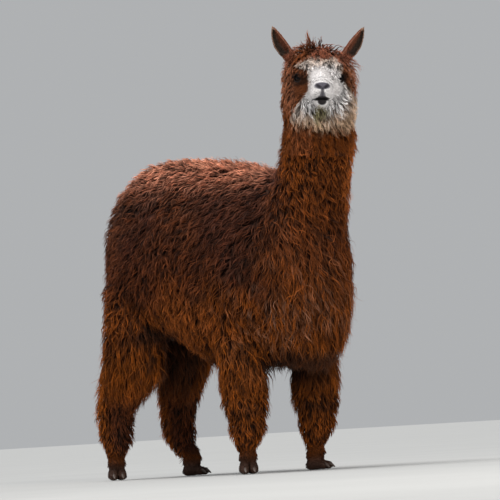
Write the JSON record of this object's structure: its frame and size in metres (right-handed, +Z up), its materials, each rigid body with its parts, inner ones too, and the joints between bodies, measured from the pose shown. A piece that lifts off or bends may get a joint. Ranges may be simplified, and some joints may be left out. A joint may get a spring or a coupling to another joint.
{
  "type": "alpaca",
  "caption": "Life-size standing alpaca with a long upright neck, its head turned to its right, a crimped brown fleece and a pale face.",
  "frame": {"origin": "middle of the bounding box, at floor level", "axes": "+Z up, +X to the animal's left, -Y the way it faces"},
  "size_m": [0.424, 1.1048, 1.3391],
  "materials": {
    "fleece": "crimped brown fleece",
    "face": "short pale and brown hair",
    "foot": "short dark hair over a padded toe",
    "nail": "dark horn",
    "eye": "wet and near black"
  },
  "bodies": {
    "root": {"ear_left": "face", "ear_right": "face", "eye_left": "eye", "eye_right": "eye", "fore_left_cannon": "fleece", "fore_left_foot": "foot", "fore_left_forearm": "fleece", "fore_left_nail_left": "nail", "fore_left_nail_right": "nail", "fore_right_cannon": "fleece", "fore_right_foot": "foot", "fore_right_forearm": "fleece", "fore_right_nail_left": "nail", "fore_right_nail_right": "nail", "head": "face", "hind_left_cannon": "fleece", "hind_left_foot": "foot", "hind_left_nail_left": "nail", "hind_left_nail_right": "nail", "hind_left_thigh": "fleece", "hind_right_cannon": "fleece", "hind_right_foot": "foot", "hind_right_nail_left": "nail", "hind_right_nail_right": "nail", "hind_right_thigh": "fleece", "neck": "fleece", "tail": "fleece", "trunk": "fleece"}
  },
  "joints": []
}
